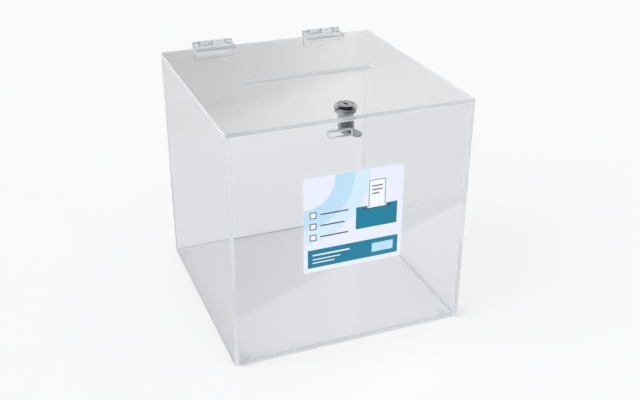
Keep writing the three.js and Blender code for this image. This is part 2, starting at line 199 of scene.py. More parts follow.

# The same sheet where it was cut: satin, because a scraped face scatters part of the light
# white, with the scrape's long waves drawn at 40 mm so that they show. The lid's front edge is
# buffed as well, so it stays clearer, and a painted shade makes it greyer. The walls' top edges
# are matt from the saw, and a painted highlight makes them whiter.
scrape_wave = 40 * mm
cut_edges = []
for name, colour, clearness in (
    ("scraped_acrylic_edge", "#E3E6E8", 0.38), ("buffed_edge_painted_grey", "#D9DCDE", 0.5),
    ("sawn_edge_painted_white", "#FDFEFE", 0.0),
):
    cut_edge, tree = start_finish(name)
    place = add_node(tree, "ShaderNodeTexCoord", {})
    scrape_marks = add_node(tree, "ShaderNodeTexNoise", {
        "Vector": place.outputs["Object"], "Scale": 1 / scrape_wave, "Detail": 1.0})
    edge_gloss = add_node(tree, "ShaderNodeMapRange", {
        "Value": scrape_marks.outputs["Fac"], "From Min": 0.4, "From Max": 0.7,
        "To Min": 0.0, "To Max": 0.05})
    edge_clear = add_node(tree, "ShaderNodeBsdfPrincipled", {
        "Base Color": linear(colour), "Roughness": edge_gloss.outputs["Result"],
        "IOR": acrylic_ior, "Transmission Weight": clearness})
    let_light_through(tree, edge_clear, "#F6F7F8")
    cut_edges.append(cut_edge)

# Solvent cement: it melts two faces into one, so nothing is left to bend or mirror the light
# between them, apart from a few pinhead bubbles, drawn at 1.5 mm. The seams that stand at the
# front dried milky, and those of the base dried grey.
bubble_size = 1.5 * mm
cement_films = []
for name, colour, fewest, most, thinnest, thickest in (
    ("solvent_cement_film", "#EEF0F2", 0.68, 0.76, 0.0, 0.3),
    ("milky_cement_seam", "#E2E4E6", 0.3, 0.75, 0.45, 0.8),
    ("grey_cement_seam", "#B4B7BA", 0.3, 0.75, 0.35, 0.6),
):
    film, tree = start_finish(name)
    place = add_node(tree, "ShaderNodeTexCoord", {})
    bubbles = add_node(tree, "ShaderNodeTexNoise", {
        "Vector": place.outputs["Object"], "Scale": 1 / bubble_size, "Detail": 1.0})
    bubble_mask = add_node(tree, "ShaderNodeMapRange", {
        "Value": bubbles.outputs["Fac"], "From Min": fewest, "From Max": most,
        "To Min": thinnest, "To Max": thickest})
    film_clear = add_node(tree, "ShaderNodeBsdfTransparent", {"Color": linear("#FEFEFE")})
    film_bubble = add_node(tree, "ShaderNodeBsdfPrincipled", {
        "Base Color": linear(colour), "Roughness": 0.4})
    film_mix = add_node(tree, "ShaderNodeMixShader", {
        0: bubble_mask.outputs["Result"], 1: film_clear.outputs[0], 2: film_bubble.outputs[0]})
    add_node(tree, "ShaderNodeOutputMaterial", {"Surface": film_mix.outputs[0]})
    cement_films.append(film)

panels = ("base_panel", "left_wall", "right_wall", "front_wall", "back_wall")
stuck_on = ("lock_keeper", "hinge_left_wall_leaf", "hinge_right_wall_leaf")
for node, thin in zip(panels, (z_axis, x_axis, x_axis, y_axis, y_axis)):
    panel = block(node + "_sheet", *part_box(node))
    front_panels = [other for other in panels if "front_wall" in (node, other)]
    further = [other for other in panels if other not in front_panels]
    base_panels = [other for other in further if "base_panel" in (node, other)]
    back_panels = [other for other in further if other not in base_panels]
    clear, milky, grey = [
        cement_places(node, others)
        for others in ((*stuck_on, *back_panels), front_panels, base_panels)]
    score(panel, clear + milky + grey)
    break_edges(panel, sheet_edge_break)
    hand_over(panel, "box", node, "clear_acrylic", cast_acrylic, *cut_edges, *cement_films)
    paint(panel, thin, clear, milky, grey)

# Feet: four clear polyurethane bumpers, moulded as low domes and stuck under the base.
# They are flat where they stand, and softer and duller than the sheet.
foot_radius, foot_height = 5, 3
foot_stand_radius = 3.25
foot_rim_break = 0.15
dome_height = 1.8
dome_steps = 8
dome_creased_from = math.radians(40)
foot_sides = 48
merge_distance = 0.002 * mm


def turn(name, profile, centre, sides):
    bpy.ops.object.select_all(action="DESELECT")
    bpy.ops.mesh.primitive_plane_add(size=mm, location=centre)
    piece = bpy.context.object
    piece.name = piece.data.name = name
    bpy.ops.object.transform_apply(location=True, rotation=True, scale=True)
    bpy.ops.object.mode_set(mode="EDIT")
    bpy.ops.mesh.select_mode(type="VERT")
    bpy.ops.mesh.select_all(action="SELECT")
    bpy.ops.mesh.merge(type="CENTER")
    radius, height = profile[0]
    bpy.ops.transform.translate(value=(radius * mm, 0, height * mm))
    for next_radius, next_height in profile[1:]:
        step = ((next_radius - radius) * mm, 0, (next_height - height) * mm)
        bpy.ops.mesh.extrude_vertices_move(TRANSFORM_OT_translate={"value": step})
        radius, height = next_radius, next_height
    bpy.ops.mesh.select_all(action="SELECT")
    bpy.ops.mesh.spin(steps=sides, angle=2 * math.pi, center=centre, axis=(0, 0, 1))
    bpy.ops.mesh.select_all(action="SELECT")
    bpy.ops.mesh.remove_doubles(threshold=merge_distance)
    bpy.ops.mesh.normals_make_consistent(inside=False)
    bpy.ops.object.mode_set(mode="OBJECT")
    return piece


# Clear polyurethane: nearly colourless, a little cloudy, with a soft gloss from its mould
polyurethane_ior = 1.5
mould_grain_size = 2 * mm
clear_bumper, tree = start_finish("clear_polyurethane")
place = add_node(tree, "ShaderNodeTexCoord", {})
mould_grain = add_node(tree, "ShaderNodeTexNoise", {
    "Vector": place.outputs["Object"], "Scale": 1 / mould_grain_size, "Detail": 2.0})
bumper_gloss = add_node(tree, "ShaderNodeMapRange", {
    "Value": mould_grain.outputs["Fac"], "To Min": 0.03, "To Max": 0.12})
bumper_clear = add_node(tree, "ShaderNodeBsdfPrincipled", {
    "Base Color": linear("#F9FAFA"), "Roughness": bumper_gloss.outputs["Result"],
    "IOR": polyurethane_ior, "Transmission Weight": 0.65})
let_light_through(tree, bumper_clear, "#F8F9F9")

dome = [(0, 0), (foot_stand_radius, 0)]
for step in range(1, dome_steps + 1):
    angle = math.radians(90 * step / dome_steps)
    dome.append((
        foot_stand_radius + (foot_radius - foot_stand_radius) * math.sin(angle),
        dome_height * (1 - math.cos(angle))))
dome += [
    (foot_radius, foot_height - foot_rim_break), (foot_radius - foot_rim_break, foot_height),
    (0, foot_height)]
for node in ("foot_front_left", "foot_front_right", "foot_back_left", "foot_back_right"):
    low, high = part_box(node)
    stand = ((low.x + high.x) / 2, (low.y + high.y) / 2, low.z)
    foot = turn(node + "_bumper", dome, stand, foot_sides)
    take(foot)
    bpy.ops.object.shade_smooth_by_angle(angle=dome_creased_from)
    hand_over(foot, "box", node, "clear_rubber", clear_bumper)

# Keeper: a short bar of the same acrylic, cemented inside the front wall just above the
# height of the lock's cam, which turns in under it to hold the lid shut. It is buffed all round,
# with the painted shade that greys the buffed finish.
keeper_edge_break = 0.4 * mm
keeper = block("lock_keeper_bar", *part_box("lock_keeper"))
break_edges(keeper, keeper_edge_break)
keeper_edges = [cut_edges[buffed - 1]] * len(cut_edges)
hand_over(
    keeper, "box", "lock_keeper", "clear_acrylic", cast_acrylic, *keeper_edges, *cement_films)
paint(keeper, y_axis, cement_places("lock_keeper", panels))

# Label: a gloss-coated paper sticker on the front wall, printed in teal, pale blue and
# grey: a slip over a collection box, tick boxes with ruled lines, and a plain band.
label_low, label_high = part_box("front_label")
label_depth = (label_low.y + label_high.y) / 2
label_height = (label_low.z + label_high.z) / 2
label_corner, label_corner_steps = 1.5 * mm, 5


def round_corners(piece, axis, radius, segments, before=math.inf):
    take(piece)
    bpy.ops.object.mode_set(mode="EDIT")
    bpy.ops.mesh.select_mode(type="EDGE")
    bpy.ops.mesh.select_all(action="DESELECT")
    cornered = bmesh.from_edit_mesh(piece.data)
    for edge in cornered.edges:
        along = edge.verts[1].co - edge.verts[0].co
        on_axis = abs(along[axis]) > square_on * along.length
        edge.select_set(on_axis and edge.verts[0].co.y < before)
    bmesh.update_edit_mesh(piece.data)
    bpy.ops.mesh.bevel(offset=radius, segments=segments, affect="EDGES")
    bpy.ops.object.mode_set(mode="OBJECT")


label = block("front_label_sticker", label_low, label_high)
round_corners(label, y_axis, label_corner, label_corner_steps)

# Coated paper: an even gloss over a fibre grain, drawn at 1.2 mm so that it shows. The print is
# laid out in millimetres from the label's middle: three sweeps, then plain rectangles over them.
fibre_size = 1.2 * mm
sweep_x, sweep_z = -50, 48
sweep_fringe = 0.4
ground, sky, pale, white = "#E9EDFB", "#D3EBFA", "#BCE0F6", "#F3F6FD"
teal, dark = "#0A7F9F", "#4B5166"
label_print, tree = start_finish("gloss_coated_paper")
place = add_node(tree, "ShaderNodeTexCoord", {})
sheet_mm = add_node(tree, "ShaderNodeMapping", {
    "Vector": place.outputs["Object"],
    "Location": (0, 0, -label_height / mm), "Scale": (1 / mm, 1 / mm, 1 / mm)})
across = add_node(tree, "ShaderNodeSeparateXYZ", {"Vector": sheet_mm.outputs["Vector"]})
ink = linear(ground)
for colour, radius in ((sky, 66), (pale, 50), (ground, 30)):
    reach = add_node(tree, "ShaderNodeVectorMath", {
        0: sheet_mm.outputs["Vector"], 1: (sweep_x, label_depth / mm, sweep_z)},
        operation="DISTANCE")
    sweep = add_node(tree, "ShaderNodeMapRange", {
        "Value": reach.outputs["Value"],
        "From Min": radius - sweep_fringe, "From Max": radius + sweep_fringe,
        "To Min": 1.0, "To Max": 0.0})
    tint = add_node(tree, "ShaderNodeMix", {
        0: sweep.outputs["Result"], 6: ink, 7: linear(colour)}, data_type="RGBA")
    ink = tint.outputs[2]
for colour, left, bottom, right, top in (
    (teal, -48, -46, 48, -26), (white, -43, -33, -4, -31.4), (white, -43, -37.5, -14, -36.4),
    (white, -43, -41.3, -20, -40.2), (pale, 20, -41, 43, -31),
    (teal, 2, -12, 46, 12), (dark, 9, 8.2, 39, 10.2), (white, 14, 9.2, 34, 40),
    (teal, 15, 10.4, 33, 39), (white, 15.8, 9.2, 32.2, 38.2), (dark, 18.5, 31.6, 29.5, 32.8),
    (dark, 18.5, 27.6, 29.5, 28.8), (dark, 18.5, 23.6, 26, 24.8),
    (dark, -46, 8, -39, 15), (white, -45, 9, -40, 14), (dark, -35, 10.8, -6, 12.2),
    (dark, -46, -4, -39, 3), (white, -45, -3, -40, 2), (dark, -35, -1.2, -10, 0.2),
    (dark, -46, -16, -39, -9), (white, -45, -15, -40, -10), (dark, -35, -13.2, -6, -11.8),
):
    inside_x = add_node(tree, "ShaderNodeMath", {
        0: across.outputs["X"], 1: (left + right) / 2, 2: (right - left) / 2},
        operation="COMPARE")
    inside_z = add_node(tree, "ShaderNodeMath", {
        0: across.outputs["Z"], 1: (bottom + top) / 2, 2: (top - bottom) / 2},
        operation="COMPARE")
    inside = add_node(tree, "ShaderNodeMath", {
        0: inside_x.outputs[0], 1: inside_z.outputs[0]}, operation="MULTIPLY")
    tint = add_node(tree, "ShaderNodeMix", {
        0: inside.outputs[0], 6: ink, 7: linear(colour)}, data_type="RGBA")
    ink = tint.outputs[2]
paper_fibre = add_node(tree, "ShaderNodeTexNoise", {
    "Vector": place.outputs["Object"], "Scale": 1 / fibre_size, "Detail": 3.0})
paper_gloss = add_node(tree, "ShaderNodeMapRange", {
    "Value": paper_fibre.outputs["Fac"], "To Min": 0.32, "To Max": 0.46})
paper_relief = add_node(tree, "ShaderNodeBump", {
    "Height": paper_fibre.outputs["Fac"], "Strength": 0.08, "Distance": 0.05 * mm})
paper = add_node(tree, "ShaderNodeBsdfPrincipled", {
    "Base Color": ink, "Roughness": paper_gloss.outputs["Result"],
    "Normal": paper_relief.outputs["Normal"], "IOR": 1.48, "Coat Weight": 0.15})
add_node(tree, "ShaderNodeOutputMaterial", {"Surface": paper.outputs[0]})

# The back of the sticker, seen through the wall: plain paper under its film of adhesive
adhesive_patch = 9 * mm
label_back, tree = start_finish("adhesive_paper_back")
place = add_node(tree, "ShaderNodeTexCoord", {})
adhesive = add_node(tree, "ShaderNodeTexNoise", {
    "Vector": place.outputs["Object"], "Scale": 1 / adhesive_patch, "Detail": 3.0})
back_tone = add_node(tree, "ShaderNodeMix", {
    0: adhesive.outputs["Fac"], 6: linear("#E4E6EB"), 7: linear("#EEF0F4")}, data_type="RGBA")
back_paper = add_node(tree, "ShaderNodeBsdfPrincipled", {
    "Base Color": back_tone.outputs[2], "Roughness": 0.6})
add_node(tree, "ShaderNodeOutputMaterial", {"Surface": back_paper.outputs[0]})

hand_over(label, "box", "front_label", "label_paper", label_print, label_back)
for face in label.data.polygons:
    face.material_index = int(face.normal.y > -square_on)

# Hinges: two of them at the back, each of two like leaves that are moulded in clear acrylic
# and cemented to the lid and to the back wall, with a clear pin through their knuckles.
leaf_half_length = 22.5
leaf_far, leaf_near = -19, -3.7
leaf_bottom, leaf_top = -3.4, -0.6
leaf_corner, leaf_corner_steps = 1.5 * mm, 5
leaf_fillet = 0.3 * mm
web_far = -6.5
knuckles = ((-14.8, -0.2), (15.2, 22.5))
knuckle_radius, knuckle_round = 3.4, 0.8
knuckle_sides = 40
bore_radius = 1.5
pin_end = [(0, 22.5), (0.7, 22.45), (1.05, 22.25), (1.2, 21.9)]
pin_sides = 32
overshoot = 1.5
origin = (0, 0, 0)
along_x = Matrix.Rotation(math.radians(90), 4, "Y")


def stock(name, low, high):
    return block(name, Vector(low) * mm, Vector(high) * mm)


def combine(piece, tool, operation):
    take(piece)
    joined = piece.modifiers.new("joined", "BOOLEAN")
    joined.operation = operation
    joined.solver = "EXACT"
    joined.object = tool
    bpy.ops.object.modifier_apply(modifier=joined.name)
    put_away(tool)


def put_away(piece):
    spare_mesh = piece.data
    bpy.data.objects.remove(piece)
    bpy.data.meshes.remove(spare_mesh)


def copy_of(piece, name):
    take(piece)
    bpy.ops.object.duplicate()
    copied = bpy.context.object
    copied.name = copied.data.name = name
    return copied


def set_down(piece, matrix):
    take(piece)
    piece.matrix_world = matrix
    bpy.ops.object.transform_apply(location=True, rotation=True, scale=True)


pin_low, pin_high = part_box("hinge_left_pin")
pin_centre = (pin_low + pin_high) / 2
leaf = stock(
    "hinge_leaf", (-leaf_half_length, leaf_far, leaf_bottom),
    (leaf_half_length, leaf_near, leaf_top))
round_corners(leaf, z_axis, leaf_corner, leaf_corner_steps)
for start, end in knuckles:
    web = stock("web", (start, web_far, leaf_bottom), (end, 0, leaf_top))
    combine(leaf, web, "UNION")
    shoulder = knuckle_radius - knuckle_round
    bend, bend_in = shoulder + 0.7 * knuckle_round, 0.3 * knuckle_round
    barrel = turn("barrel", [
        (0, start), (shoulder, start), (bend, start + bend_in),
        (knuckle_radius, start + knuckle_round), (knuckle_radius, end - knuckle_round),
        (bend, end - bend_in), (shoulder, end), (0, end)], origin, knuckle_sides)
    set_down(barrel, along_x)
    combine(leaf, barrel, "UNION")
bore_reach = leaf_half_length + overshoot
bore = turn("bore", [
    (0, -bore_reach), (bore_radius, -bore_reach), (bore_radius, bore_reach), (0, bore_reach)],
    origin, pin_sides)
set_down(bore, along_x)
combine(leaf, bore, "DIFFERENCE")
lid_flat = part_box("lid_panel")[1].y - film_rim
wall_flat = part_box("back_wall")[1].z - film_rim
score(leaf, [(z_axis, -1, [(y_axis, lid_flat - pin_centre.y, wall_flat - pin_centre.z)])])
break_edges(leaf, leaf_fillet)

# Moulded acrylic: as clear as the sheet, with a faint grain from the mould
flow_mark_size = 8 * mm
moulded_acrylic, tree = start_finish("moulded_acrylic")
place = add_node(tree, "ShaderNodeTexCoord", {})
flow_marks = add_node(tree, "ShaderNodeTexNoise", {
    "Vector": place.outputs["Object"], "Scale": 1 / flow_mark_size, "Detail": 2.0})
mould_gloss = add_node(tree, "ShaderNodeMapRange", {
    "Value": flow_marks.outputs["Fac"], "To Min": 0.02, "To Max": 0.1})
mould_clear = add_node(tree, "ShaderNodeBsdfPrincipled", {
    "Base Color": linear("#F3F5F5"), "Roughness": mould_gloss.outputs["Result"],
    "IOR": acrylic_ior, "Transmission Weight": 1.0})
let_light_through(tree, mould_clear, "#F8F9F9")

half_round = Matrix.Rotation(math.pi, 4, Vector((0, 1, 1)).normalized())
for side in ("left", "right"):
    pin_low, pin_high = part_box(f"hinge_{side}_pin")
    pin_place = Matrix.Translation((pin_low + pin_high) / 2)
    for half, body, turned, facing, reaching, flat in (
        ("lid", "lid", Matrix.Identity(4), z_axis, y_axis, lid_flat),
        ("wall", "box", half_round, y_axis, z_axis, wall_flat),
    ):
        node = f"hinge_{side}_{half}_leaf"
        moulding = copy_of(leaf, node + "_moulding")
        set_down(moulding, pin_place @ turned)
        hand_over(moulding, body, node, "clear_acrylic", moulded_acrylic, cement_films[0])
        for face in moulding.data.polygons:
            face.material_index = int(
                face.normal[facing] < -square_on and face.center[reaching] < flat)
    pin_profile = [(radius, -reach) for radius, reach in pin_end] + pin_end[::-1]
    pin = turn(f"hinge_{side}_pin_rod", pin_profile, origin, pin_sides)
    set_down(pin, pin_place @ along_x)
    bpy.ops.object.shade_smooth_by_angle(angle=creased_from)
    hand_over(pin, "box", f"hinge_{side}_pin", "clear_acrylic", moulded_acrylic)
put_away(leaf)

# Lid: one panel of the same sheet, with a round-ended posting slot routed through its
# middle and a hole with two flats near the front, which keeps the lock from turning.
lid_low, lid_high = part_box("lid_panel")
lid_middle = (lid_low + lid_high) / 2
slot_half = Vector((75, 4, 10)) * mm
slot_round, slot_round_steps = 3.98 * mm, 10
lock_low, lock_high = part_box("lock_housing")
lock_axis = Vector((
    (lock_low.x + lock_high.x) / 2, (lock_low.y + lock_high.y) / 2, lid_high.z))
lock_hole_radius, lock_hole_flat = 8.3, 7.3
lock_hole_bottom, lock_hole_top = -8, 4
lock_hole_sides = 48


def saw(piece, planes):
    take(piece)
    bpy.ops.object.mode_set(mode="EDIT")
    for point, outward in planes:
        bpy.ops.mesh.select_all(action="SELECT")
        bpy.ops.mesh.bisect(
            plane_co=lock_axis + Vector(point) * mm, plane_no=outward,
            use_fill=True, clear_outer=True)
    bpy.ops.object.mode_set(mode="OBJECT")


lid = block("lid_panel_sheet", lid_low, lid_high)
slot_cut = block("slot_cut", lid_middle - slot_half, lid_middle + slot_half)
round_corners(slot_cut, z_axis, slot_round, slot_round_steps)
combine(lid, slot_cut, "DIFFERENCE")
lock_hole = turn("lock_hole", [
    (0, lock_hole_bottom), (lock_hole_radius, lock_hole_bottom),
    (lock_hole_radius, lock_hole_top), (0, lock_hole_top)], lock_axis, lock_hole_sides)
saw(lock_hole, [((side * lock_hole_flat, 0, 0), (side, 0, 0)) for side in (-1, 1)])
combine(lid, lock_hole, "DIFFERENCE")
places = cement_places("lid_panel", ("hinge_left_lid_leaf", "hinge_right_lid_leaf"))
score(lid, places)
break_edges(lid, sheet_edge_break)
hand_over(lid, "lid", "lid_panel", "clear_acrylic", cast_acrylic, *cut_edges, *cement_films)
paint(lid, z_axis, places)
# The lid's front edge takes the buffed finish, which a painted shade makes greyer
for face in lid.data.polygons:
    if face.normal.y < -square_on and face.center.y < lid_low.y + sheet_edge_break:
        face.material_index = buffed

# Lock housing: a die-cast zinc cam lock body in bright chrome plate. Its flange lies on the
# lid, and its threaded barrel, milled with two flats, goes through the lid's hole.
flange_radius, flange_face_radius = 11.5, 8.75
flange_seat, flange_rim, flange_top = 0.1, 0.5, 3
flange_sides = 72
barrel_flat = 7
barrel_end, barrel_top = -21.1, 0.6
thread_crest, thread_root = 8.0, 7.5
thread_pitch = 1.0
thread_start, thread_turns = -23.5, 25
thread_sides = 48
crest_half, crest_round = 0.08, 0.06
plug_bore_radius, head_bore_radius = 5.8, 6.8
head_bore_floor = 1.7
plug_sides = 64
stop_start, stop_finish = math.radians(31), math.radians(159)
stop_room_radius = 9.5
stop_room_bottom, stop_room_top = -23, -20
metal_edge_break = 0.12 * mm
housing = turn("lock_housing_body", [
    (0, flange_seat), (flange_radius, flange_seat), (flange_radius, flange_rim),
    (flange_face_radius, flange_top), (0, flange_top)], lock_axis, flange_sides)
thread = turn("thread", [
    (thread_root, 0), (thread_crest - crest_round, thread_pitch / 2 - crest_half),
    (thread_crest, thread_pitch / 2),
    (thread_crest - crest_round, thread_pitch / 2 + crest_half), (thread_root, thread_pitch)],
    origin, 1)
bpy.ops.object.mode_set(mode="EDIT")
bpy.ops.mesh.select_all(action="SELECT")
bpy.ops.mesh.delete(type="ONLY_FACE")
bpy.ops.object.mode_set(mode="OBJECT")
winding = thread.modifiers.new("winding", "SCREW")
winding.screw_offset = thread_pitch * mm
winding.iterations = thread_turns
winding.steps = winding.render_steps = thread_sides
winding.use_merge_vertices = True
winding.merge_threshold = merge_distance
bpy.ops.object.modifier_apply(modifier=winding.name)
set_down(thread, Matrix.Translation(lock_axis + Vector((0, 0, thread_start * mm))))
bpy.ops.object.mode_set(mode="EDIT")
bpy.ops.mesh.select_all(action="SELECT")
bpy.ops.mesh.remove_doubles(threshold=merge_distance)
bpy.ops.object.mode_set(mode="OBJECT")
saw(thread, (
    ((0, 0, barrel_end), (0, 0, -1)), ((0, 0, barrel_top), (0, 0, 1)),
    ((-barrel_flat, 0, 0), (-1, 0, 0)), ((barrel_flat, 0, 0), (1, 0, 0))))
bpy.ops.object.mode_set(mode="EDIT")
bpy.ops.mesh.select_all(action="SELECT")
bpy.ops.mesh.normals_make_consistent(inside=False)
bpy.ops.object.mode_set(mode="OBJECT")
combine(housing, thread, "UNION")
bore_bottom, bore_top = barrel_end - overshoot, flange_top + overshoot
plug_bore = turn("plug_bore", [
    (0, bore_bottom), (plug_bore_radius, bore_bottom), (plug_bore_radius, head_bore_floor),
    (head_bore_radius, head_bore_floor), (head_bore_radius, bore_top), (0, bore_top)],
    lock_axis, plug_sides)
combine(housing, plug_bore, "DIFFERENCE")
stop_room = turn("stop_room", [
    (0, stop_room_bottom), (stop_room_radius, stop_room_bottom),
    (stop_room_radius, stop_room_top), (0, stop_room_top)], lock_axis, plug_sides)
saw(stop_room, (
    (origin, (math.sin(stop_start), -math.cos(stop_start), 0)),
    (origin, (-math.sin(stop_finish), math.cos(stop_finish), 0))))
combine(housing, stop_room, "DIFFERENCE")
break_edges(housing, metal_edge_break)

# Bright chrome: a mirror with a little swirl from polishing and fine handling marks
swirl_size = 5 * mm
chrome, tree = start_finish("bright_chrome_plate")
place = add_node(tree, "ShaderNodeTexCoord", {})
polish_swirl = add_node(tree, "ShaderNodeTexNoise", {
    "Vector": place.outputs["Object"], "Scale": 1 / swirl_size, "Detail": 4.0})
chrome_gloss = add_node(tree, "ShaderNodeMapRange", {
    "Value": polish_swirl.outputs["Fac"], "From Min": 0.3, "From Max": 0.7,
    "To Min": 0.04, "To Max": 0.12})
chrome_tone = add_node(tree, "ShaderNodeMix", {
    0: polish_swirl.outputs["Fac"], 6: linear("#B9BCBF"), 7: linear("#C6C8CB")},
    data_type="RGBA")
plate = add_node(tree, "ShaderNodeBsdfPrincipled", {
    "Base Color": chrome_tone.outputs[2], "Roughness": chrome_gloss.outputs["Result"],
    "Metallic": 1.0})
add_node(tree, "ShaderNodeOutputMaterial", {"Surface": plate.outputs[0]})
hand_over(housing, "lid", "lock_housing", "chrome_plate", chrome)

# Lock nut: a thin hexagon nut on the barrel, pulled up against the underside of the lid.
# Its corners are chamfered above and below, and it is plated as the housing is.
nut_bottom, nut_top = -7.1, -4.1
nut_flat, nut_corner, nut_chamfer_start = 10, 11.55, 10.4
nut_chamfer_drop = 0.6
nut_bore_radius = 8.3
nut_sides = 48
nut_edge_break = 0.15 * mm
nut = turn("lock_nut_hexagon", [
    (0, nut_bottom), (nut_chamfer_start, nut_bottom),
    (nut_corner, nut_bottom + nut_chamfer_drop), (nut_corner, nut_top - nut_chamfer_drop),
    (nut_chamfer_start, nut_top), (0, nut_top)], lock_axis, nut_sides)
nut_facings = [
    Vector((math.cos(angle), math.sin(angle), 0))
    for angle in (math.radians(60 * corner + 30) for corner in range(6))]
saw(nut, [(facing * nut_flat, facing) for facing in nut_facings])
bore_bottom, bore_top = nut_bottom - overshoot, nut_top + overshoot
nut_bore = turn("nut_bore", [
    (0, bore_bottom), (nut_bore_radius, bore_bottom), (nut_bore_radius, bore_top),
    (0, bore_top)], lock_axis, nut_sides)
combine(nut, nut_bore, "DIFFERENCE")
break_edges(nut, nut_edge_break)
hand_over(nut, "lid", "lock_nut", "chrome_plate", chrome)

# Lock plug: the round core that the key turns, plated like the housing, with its keyway
# through the face, a slit for each wafer and a square at the end that drives the cam.
core_angle = math.radians(20)
core_turn = Matrix.Translation(lock_axis) @ Matrix.Rotation(core_angle, 4, "Z")
plug_radius, plug_head_radius, plug_face_radius = 5.5, 6.5, 6.2
plug_end, plug_head_seat, plug_head_rim = -20, 1.8, 2.7
drive_half, drive_end, drive_root = 3.5, -23.1, -19
keyway_half_width, keyway_half_length = 1.5, 3.25
keyway_floor = -15
keyway_margin = 0.1
wafer_numbers = (1, 2, 3, 4)
first_slit, slit_pitch = -2, 3
slit_half_width, slit_reach, slit_half_height = 2.74, 7, 0.75
pocket_reach, pocket_half_width, pocket_half_height = 4.45, 3.1, 1
screw_hole_radius, screw_hole_top = 2.3, -17.7
screw_hole_sides = 32
plug = turn("lock_plug_core", [
    (0, plug_end), (plug_radius, plug_end), (plug_radius, plug_head_seat),
    (plug_head_radius, plug_head_seat), (plug_head_radius, plug_head_rim),
    (plug_face_radius, flange_top), (0, flange_top)], origin, plug_sides)
drive = stock(
    "drive", (-drive_half, -drive_half, drive_end), (drive_half, drive_half, drive_root))
combine(plug, drive, "UNION")
keyway = stock(
    "keyway", (-keyway_half_width, -keyway_half_length, keyway_floor),
    (keyway_half_width, keyway_half_length, flange_top + overshoot))
combine(plug, keyway, "DIFFERENCE")
for number in wafer_numbers:
    height = first_slit - slit_pitch * (number - 1)
    slit = stock(
        "slit", (-slit_half_width, -slit_reach, height - slit_half_height),
        (slit_half_width, slit_reach, height + slit_half_height))
    combine(plug, slit, "DIFFERENCE")
    pocket = stock(
        "pocket", (0, -pocket_half_width, height - pocket_half_height),
        (pocket_reach, pocket_half_width, height + pocket_half_height))
    combine(plug, pocket, "DIFFERENCE")
hole_bottom = drive_end - overshoot
screw_hole = turn("screw_hole", [
    (0, hole_bottom), (screw_hole_radius, hole_bottom), (screw_hole_radius, screw_hole_top),
    (0, screw_hole_top)], origin, screw_hole_sides)
combine(plug, screw_hole, "DIFFERENCE")
break_edges(plug, metal_edge_break)
set_down(plug, core_turn)

# Bare zinc in the keyway, where the plate doesn't reach: dull, and painted near black as shade
shade_mottle_size = 0.8 * mm
keyway_painted_shade, tree = start_finish("bare_zinc_painted_shade")
place = add_node(tree, "ShaderNodeTexCoord", {})
shade_mottle = add_node(tree, "ShaderNodeTexNoise", {
    "Vector": place.outputs["Object"], "Scale": 1 / shade_mottle_size, "Detail": 3.0})
painted_shade_tone = add_node(tree, "ShaderNodeMix", {
    0: shade_mottle.outputs["Fac"], 6: linear("#0C0D0E"), 7: linear("#1C1D1F")}, data_type="RGBA")
bare_zinc = add_node(tree, "ShaderNodeBsdfPrincipled", {
    "Base Color": painted_shade_tone.outputs[2], "Roughness": 0.7, "Metallic": 0.2})
add_node(tree, "ShaderNodeOutputMaterial", {"Surface": bare_zinc.outputs[0]})
hand_over(plug, "lock_core", "lock_plug", "chrome_plate", chrome, keyway_painted_shade)
# The keyway's faces take the second finish, the painted shade
for face in plug.data.polygons:
    inner = (core_turn.inverted() @ face.center) / mm
    face.material_index = int(
        abs(inner.x) < keyway_half_width + keyway_margin
        and abs(inner.y) < keyway_half_length + keyway_margin
        and keyway_floor - keyway_margin < inner.z < flange_top - keyway_margin)

# Cam: a flat stamped arm with a round tip, pushed on the plug's square and plated bright.
# Its rim is rolled over by the punch.
cam_bottom, cam_top = -23.4, -21.4
cam_boss_radius = 7.35
cam_half_width, cam_length = 5.25, 20
cam_tip_radius, cam_tip_steps = 5.22 * mm, 14
cam_edge_roll, cam_edge_steps = 0.3 * mm, 3
cam_sides = 56
square_half = 3.8
cam = turn("lock_cam_arm", [
    (0, cam_bottom), (cam_boss_radius, cam_bottom), (cam_boss_radius, cam_top), (0, cam_top)],
    origin, cam_sides)
arm = stock("arm", (-cam_half_width, -cam_length, cam_bottom), (cam_half_width, 0, cam_top))
round_corners(arm, z_axis, cam_tip_radius, cam_tip_steps, before=-cam_length / 2 * mm)
combine(cam, arm, "UNION")
cam_square = stock(
    "cam_square", (-square_half, -square_half, cam_bottom - overshoot),
    (square_half, square_half, cam_top + overshoot))
combine(cam, cam_square, "DIFFERENCE")
break_edges(cam, cam_edge_roll, cam_edge_steps)
set_down(cam, core_turn)
hand_over(cam, "lock_core", "lock_cam", "chrome_plate", chrome)

# Stop washer, spring washer and screw: zinc-plated steel. The stop's tab runs in the cut-back
# end of the barrel, and the cross-head screw holds the stack up over its split washer.
stop_bottom, stop_top = -21.3, -20.1
stop_radius, tab_half_width, tab_reach = 5.5, 1.6, 8
split_bottom, split_top = -24.4, -23.5
split_inner, split_outer, split_half_width = 2.3, 3.7, 0.4
screw_head_curve = [(0, -26.9), (2, -26.82), (3.1, -26.45), (3.6, -25.8), (3.7, -25.2)]
screw_radius, screw_head_radius = 2, 3.7
screw_head_bottom, screw_head_seat, screw_end = -26.9, -24.5, -18
screw_chamfer = 0.4
recess_half_length, recess_half_width, recess_floor = 2.2, 0.5, -25.6
screw_edge_break = 0.1 * mm
washer_sides = 48
stop = turn("lock_stop_disc", [
    (0, stop_bottom), (stop_radius, stop_bottom), (stop_radius, stop_top), (0, stop_top)],
    origin, washer_sides)
tab = stock("tab", (-tab_half_width, 0, stop_bottom), (tab_half_width, tab_reach, stop_top))
combine(stop, tab, "UNION")
stop_square = stock(
    "stop_square", (-square_half, -square_half, stop_bottom - overshoot),
    (square_half, square_half, stop_top + overshoot))
combine(stop, stop_square, "DIFFERENCE")
break_edges(stop, metal_edge_break)
set_down(stop, core_turn)

